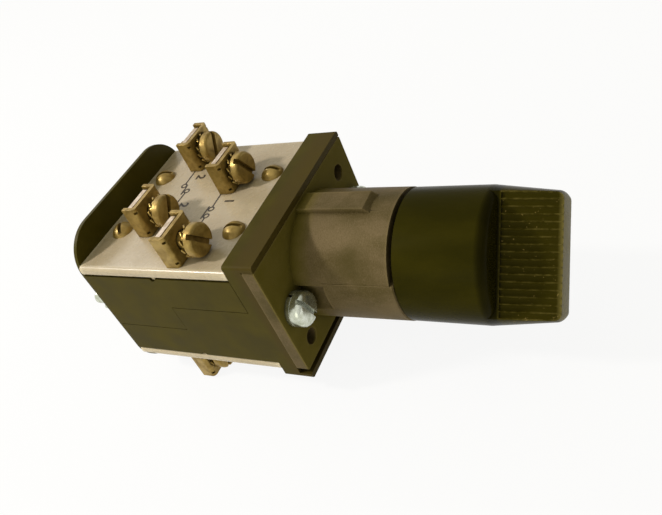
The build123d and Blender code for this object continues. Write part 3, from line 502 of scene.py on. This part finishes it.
# lowest and highest corner of each separate solid in a node
def solidBoxes(nodeName):
    bm = bmesh.new()
    bm.from_mesh(frame["nodes"][nodeName].data)
    bmesh.ops.remove_doubles(bm, verts=bm.verts, dist=meshing["merge"])
    seen = set()
    boxes = []
    for first in bm.verts:
        group, waiting = [], [first]
        while waiting:
            vert = waiting.pop()
            if vert in seen:
                continue
            seen.add(vert)
            group.append(vert.co)
            waiting += [e.other_vert(vert) for e in vert.link_edges]
        if group:
            boxes.append([Vector([pick(co[i] for co in group) for i in range(3)]) for pick in (min, max)])
    bm.free()
    return boxes


def addPiece(name, bm, look, smooth=True):
    mesh = bpy.data.meshes.new(name)
    for face in bm.faces:
        face.smooth = smooth
    bm.to_mesh(mesh)
    bm.free()
    if smooth:
        mesh.set_sharp_from_angle(angle=radians(meshing["newSharpAngle"]))
    mesh.materials.append(looks[look])
    piece = bpy.data.objects.new(name, mesh)
    bpy.context.scene.collection.objects.link(piece)
    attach(piece, "block")
    return piece


# each edge once, always in the same order
def edgesOf(verts):
    return list(dict.fromkeys(e for v in verts for e in v.link_edges))


# flat ring facing along Z, raised by height
def addRing(bm, place, outer, inner, height, segments):
    loops = []
    for radius in (outer, inner):
        circle = bmesh.ops.create_circle(bm, cap_ends=False, radius=radius, segments=segments, matrix=place)
        loops += edgesOf(circle["verts"])
    band = bmesh.ops.bridge_loops(bm, edges=loops)["faces"]
    raised = bmesh.ops.extrude_face_region(bm, geom=band)["geom"]
    lifted = [v for v in raised if isinstance(v, bmesh.types.BMVert)]
    bmesh.ops.translate(bm, verts=lifted, vec=place.to_3x3() @ Vector((0, 0, height)))


# printed circuit marks on the upper plate, laid on its face
marks = {
    "thickness": 0.03, "stroke": 0.42, "ringRadius": 0.92, "numberHeight": 2.6, "boldness": 0.11,
    "ringSegments": 32, "digitShare": 0.7,
    "lines": [((3.4, 24.4), (-1.6, 24.15)), ((-1.5, 25.2), (-6.0, 25.2)), ((-5.9, 24.15), (-9.2, 24.1)),
              ((12.6, 38.75), (7.6, 38.6)), ((8.1, 37.6), (3.3, 37.5)), ((3.8, 36.5), (-1.5, 36.6))],
    "rings": [(-2.5, 24.1), (-5.0, 24.1), (6.75, 38.6), (4.65, 36.4)],
    "numbers": [("1", 0.3, 20.4), ("2", 10.2, 35.4), ("2", -0.8, 34.0)],
}


def printedMarks():
    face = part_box("terminal_plate_top")[1].z
    bm = bmesh.new()
    for (x0, y0), (x1, y1) in marks["lines"]:
        start, end = Vector((x0 * mm, y0 * mm, face)), Vector((x1 * mm, y1 * mm, face))
        run = end - start
        turn = Matrix.Translation((start + end) / 2) @ run.to_track_quat("X", "Z").to_matrix().to_4x4()
        size = Matrix.Diagonal((run.length, marks["stroke"] * mm, 2 * marks["thickness"] * mm, 1))
        bmesh.ops.create_cube(bm, size=1.0, matrix=turn @ size)
    for x, y in marks["rings"]:
        addRing(bm, Matrix.Translation((x * mm, y * mm, face)), marks["ringRadius"] * mm,
                (marks["ringRadius"] - marks["stroke"]) * mm, marks["thickness"] * mm, marks["ringSegments"])
    bmesh.ops.recalc_face_normals(bm, faces=bm.faces)
    addPiece("circuitMarks", bm, "ink", False)
    for index, (digit, x, y) in enumerate(marks["numbers"]):
        words = bpy.data.curves.new("digit", "FONT")
        words.body = digit
        words.size = marks["numberHeight"] / marks["digitShare"] * mm
        words.align_x = "CENTER"
        words.align_y = "CENTER"
        words.extrude = marks["thickness"] * mm
        words.offset = marks["boldness"] * mm
        holder = bpy.data.objects.new("digitCurve", words)
        bpy.context.scene.collection.objects.link(holder)
        bpy.context.view_layer.update()
        mesh = bpy.data.meshes.new_from_object(holder.evaluated_get(bpy.context.evaluated_depsgraph_get()))
        bpy.data.objects.remove(holder)
        mesh.transform(Matrix.Translation((x * mm, y * mm, face)) @ Matrix.Rotation(pi, 4, "Z"))
        mesh.materials.clear()
        mesh.materials.append(looks["ink"])
        piece = bpy.data.objects.new(f"circuitNumber{index + 1}", mesh)
        bpy.context.scene.collection.objects.link(piece)
        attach(piece, "block")


printedMarks()
print("circuit marks printed")

# lock washers with twisted teeth, one under each terminal screw's head
lockWasher = {"inner": 2.3, "root": 3.3, "thickness": 0.5, "teeth": 12, "toothWidth": 1.2, "toothLength": 1.1,
              "toothSink": 0.4, "twist": 42, "edge": 0.12, "segments": 48, "toothShare": 0.9}


def addLockWasher(bm, centre):
    thick = lockWasher["thickness"] * mm
    flat = Matrix.Translation(centre + Vector((0, thick / 2, 0))) @ Matrix.Rotation(pi / 2, 4, "X")
    addRing(bm, flat, lockWasher["root"] * mm, lockWasher["inner"] * mm, thick, lockWasher["segments"])
    reach = lockWasher["root"] - lockWasher["toothSink"] + lockWasher["toothLength"] / 2
    toothThick = lockWasher["toothShare"] * thick
    size = Matrix.Diagonal((lockWasher["toothLength"] * mm, toothThick, lockWasher["toothWidth"] * mm, 1))
    twisted = Matrix.Translation((reach * mm, 0, 0)) @ Matrix.Rotation(radians(lockWasher["twist"]), 4, "X") @ size
    for step in range(lockWasher["teeth"]):
        turn = Matrix.Translation(centre) @ Matrix.Rotation(2 * pi * step / lockWasher["teeth"], 4, "Y")
        tooth = bmesh.ops.create_cube(bm, size=1.0, matrix=turn @ twisted)
        bmesh.ops.bevel(bm, geom=edgesOf(tooth["verts"]), offset=lockWasher["edge"] * mm, affect="EDGES", segments=2,
                        profile=0.5, material=-1)


for nodeName, pieceName in (("terminal_lock_washers_top", "lockWashersTop"),
                            ("terminal_lock_washers_bottom", "lockWashersBottom")):
    bm = bmesh.new()
    for low, high in solidBoxes(nodeName):
        addLockWasher(bm, (low + high) / 2)
    bmesh.ops.recalc_face_normals(bm, faces=bm.faces)
    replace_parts(addPiece(pieceName, bm, "washerBrass"), nodeName)
print("lock washers made")

# fine ridge where the two halves of the casting die met
dieLine = {"height": 0.07, "width": 0.3, "edge": 0.05, "rise": 4.2, "front": -23.2, "frontRadius": 14.804,
           "rear": -7.0, "rearRadius": 14.941}


def castingLine():
    bm = bmesh.new()
    front, rear = dieLine["front"], dieLine["rear"]
    frontReach, rearReach = [(dieLine[end] ** 2 - dieLine["rise"] ** 2) ** 0.5 for end in ("frontRadius", "rearRadius")]
    reach, middle = (frontReach + rearReach) / 2 * mm, (front + rear) / 2 * mm
    lean = atan2(rearReach - frontReach, rear - front)
    size = Matrix.Diagonal((2 * dieLine["height"] * mm, (rear - front) * mm, dieLine["width"] * mm, 1))
    for side in (-1, 1):
        place = Matrix.Translation((side * reach, middle, dieLine["rise"] * mm))
        made = bmesh.ops.create_cube(bm, size=1.0, matrix=place @ Matrix.Rotation(-side * lean, 4, "Z") @ size)
        bmesh.ops.bevel(bm, geom=edgesOf(made["verts"]), offset=dieLine["edge"] * mm, affect="EDGES", segments=2,
                        profile=0.5, material=-1)
    addPiece("castingLine", bm, "castMetal")


castingLine()
print("casting line made")

# screw threads as a raised spiral on the plain shanks
threads = {"radius": 1.95, "pitch": 0.8, "height": 0.07, "sink": 0.1, "flank": 0.42, "stepsPerTurn": 20,
           "endGap": 0.3, "headHeight": 2.2}


def addThread(bm, x, z, start, end):
    pitch = threads["pitch"] * mm
    root, tip = (threads["radius"] - threads["sink"]) * mm, (threads["radius"] + threads["height"]) * mm
    flank = threads["flank"] * pitch
    centre = Vector((x, start + pitch / 2, z))
    corners = [bm.verts.new(centre + Vector((r, y, 0))) for r, y in ((root, -flank), (tip, 0), (root, flank))]
    section = bm.faces.new(corners)
    turns = (end - start) / pitch - 1
    bmesh.ops.spin(bm, geom=[section, *section.edges, *section.verts], cent=centre, axis=(0, 1, 0),
                   dvec=(0, pitch / threads["stepsPerTurn"], 0), angle=2 * pi * turns,
                   steps=round(turns * threads["stepsPerTurn"]), use_duplicate=False)


def screwThreads():
    gap = threads["endGap"] * mm
    bm = bmesh.new()
    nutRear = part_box("rear_nuts")[1].y
    for low, high in solidBoxes("through_screws"):
        addThread(bm, (low.x + high.x) / 2, (low.z + high.z) / 2, nutRear, high.y - gap)
    bmesh.ops.recalc_face_normals(bm, faces=bm.faces)
    addPiece("rearScrewThreads", bm, "zinc")
    bm = bmesh.new()
    for low, high in solidBoxes("terminal_screws_top") + solidBoxes("terminal_screws_bottom"):
        addThread(bm, (low.x + high.x) / 2, (low.z + high.z) / 2, low.y + threads["headHeight"] * mm, high.y - gap)
    bmesh.ops.recalc_face_normals(bm, faces=bm.faces)
    addPiece("terminalScrewThreads", bm, "brass")


screwThreads()
print("threads made")

# floor, light and camera
studio = {
    "floorZ": -25.45, "floorSize": 3.0, "floorColour": (0.8, 0.8, 0.78, 1), "floorGlow": 0.9, "aim": (0, 0.015, 0),
    "keyFrom": (-0.42, 0.82, 0.93), "keyAway": 0.62, "keySize": 0.07, "keyPower": 2.4, "keyColour": (1.0, 0.95, 0.92),
    "fillFrom": (-1.0, 0.0, 0.12), "fillAway": 0.8, "fillSize": 0.6, "fillPower": 0.7, "fillColour": (1.0, 0.97, 0.82),
    "windowFrom": (0.3, 0.8, 0.5), "windowAway": 0.9, "windowSize": 0.35, "windowPower": 1.1,
    "windowColour": (1.0, 0.98, 0.94),
    "roomColour": (1.0, 0.97, 0.74, 1), "roomLow": 0.06, "roomHigh": 0.88, "roomFade": (-0.8, 0.9),
    "roomShade": 0.4, "shadeFade": (-0.6, 0.5), "roomSide": (-0.7, 0.65, 0.35),
}
shot = {"place": (-0.104553, -0.087847, 0.103067), "turn": (49.4646, 20.0175, -66.5451), "lens": 39.2441, "sensor": 36,
        "near": 0.005}


# one for rays from the camera, a mirror or clear stuff, nothing for the light that falls on the object
def backdropRays(tree):
    path = tree.nodes.new("ShaderNodeLightPath")
    total = path.outputs["Is Camera Ray"]
    for name in ("Is Glossy Ray", "Is Transmission Ray"):
        step = tree.nodes.new("ShaderNodeMath")
        step.operation = "MAXIMUM"
        tree.links.new(total, step.inputs[0])
        tree.links.new(path.outputs[name], step.inputs[1])
        total = step.outputs[0]
    return path, total


def mixShaders(tree, factor, first, second):
    mix = tree.nodes.new("ShaderNodeMixShader")
    if isinstance(factor, float):
        mix.inputs["Fac"].default_value = factor
    else:
        tree.links.new(factor, mix.inputs["Fac"])
    tree.links.new(first, mix.inputs[1])
    tree.links.new(second, mix.inputs[2])
    return mix.outputs["Shader"]


def layFloor():
    bm = bmesh.new()
    bmesh.ops.create_grid(bm, x_segments=1, y_segments=1, size=studio["floorSize"],
                          matrix=Matrix.Translation((0, 0, studio["floorZ"] * mm)))
    mesh = bpy.data.meshes.new("paleFloor")
    bm.to_mesh(mesh)
    bm.free()
    floor = bpy.data.objects.new("paleFloor", mesh)
    bpy.context.scene.collection.objects.link(floor)
    look = bpy.data.materials.new("paleFloor")
    look.use_nodes = True
    tree = look.node_tree
    tree.nodes.remove(tree.nodes["Principled BSDF"])
    matt = tree.nodes.new("ShaderNodeBsdfDiffuse")
    matt.inputs["Color"].default_value = studio["floorColour"]
    glow = tree.nodes.new("ShaderNodeEmission")
    glow.inputs["Strength"].default_value = 1.0
    pale = mixShaders(tree, studio["floorGlow"], matt.outputs["BSDF"], glow.outputs["Emission"])
    shown = mixShaders(tree, backdropRays(tree)[1], matt.outputs["BSDF"], pale)
    tree.links.new(shown, tree.nodes["Material Output"].inputs["Surface"])
    mesh.materials.append(look)


def lightRoom():
    world = bpy.data.worlds.new("softRoom")
    bpy.context.scene.world = world
    world.use_nodes = True
    tree = world.node_tree
    room = tree.nodes["Background"]
    room.inputs["Color"].default_value = studio["roomColour"]
    white = tree.nodes.new("ShaderNodeBackground")
    white.inputs["Color"].default_value = (1, 1, 1, 1)
    white.inputs["Strength"].default_value = 1.0
    # the room is brighter on one side, and mirrors see the white backdrop fade on the other
    towards = tree.nodes.new("ShaderNodeVectorMath")
    towards.operation = "DOT_PRODUCT"
    tree.links.new(tree.nodes.new("ShaderNodeTexCoord").outputs["Generated"], towards.inputs[0])
    towards.inputs[1].default_value = Vector(studio["roomSide"]).normalized()
    brightness = spread(tree, towards.outputs["Value"], *studio["roomFade"], studio["roomLow"], studio["roomHigh"])
    tree.links.new(brightness, room.inputs["Strength"])
    mirrored = tree.nodes.new("ShaderNodeBackground")
    mirrored.inputs["Color"].default_value = (1, 1, 1, 1)
    fading = spread(tree, towards.outputs["Value"], *studio["shadeFade"], studio["roomShade"], 1.0)
    tree.links.new(fading, mirrored.inputs["Strength"])
    path, backdrop = backdropRays(tree)
    behind = mixShaders(tree, path.outputs["Is Camera Ray"], mirrored.outputs["Background"],
                        white.outputs["Background"])
    seen = mixShaders(tree, backdrop, room.outputs["Background"], behind)
    tree.links.new(seen, tree.nodes["World Output"].inputs["Surface"])


def aimedLamp(name, towards, away, size, power, colour):
    lamp = bpy.data.lights.new(name, "AREA")
    lamp.shape = "DISK"
    lamp.size = size
    lamp.energy = power
    lamp.color = colour
    holder = bpy.data.objects.new(name, lamp)
    place = Vector(studio["aim"]) + Vector(towards).normalized() * away
    holder.matrix_world = Matrix.Translation(place) @ Vector(towards).to_track_quat("Z", "Y").to_matrix().to_4x4()
    bpy.context.scene.collection.objects.link(holder)


def placeCamera():
    lens = bpy.data.cameras.new("photoCamera")
    lens.sensor_width = shot["sensor"]
    lens.lens = shot["lens"]
    lens.clip_start = shot["near"]
    camera = bpy.data.objects.new("photoCamera", lens)
    camera.location = shot["place"]
    camera.rotation_euler = [radians(a) for a in shot["turn"]]
    bpy.context.scene.collection.objects.link(camera)
    bpy.context.scene.camera = camera
    bpy.context.scene.view_settings.view_transform = "Standard"


layFloor()
lightRoom()
for name in ("key", "fill", "window"):
    aimedLamp(name + "Lamp", *[studio[name + part] for part in ("From", "Away", "Size", "Power", "Colour")])
placeCamera()
print("stage set")
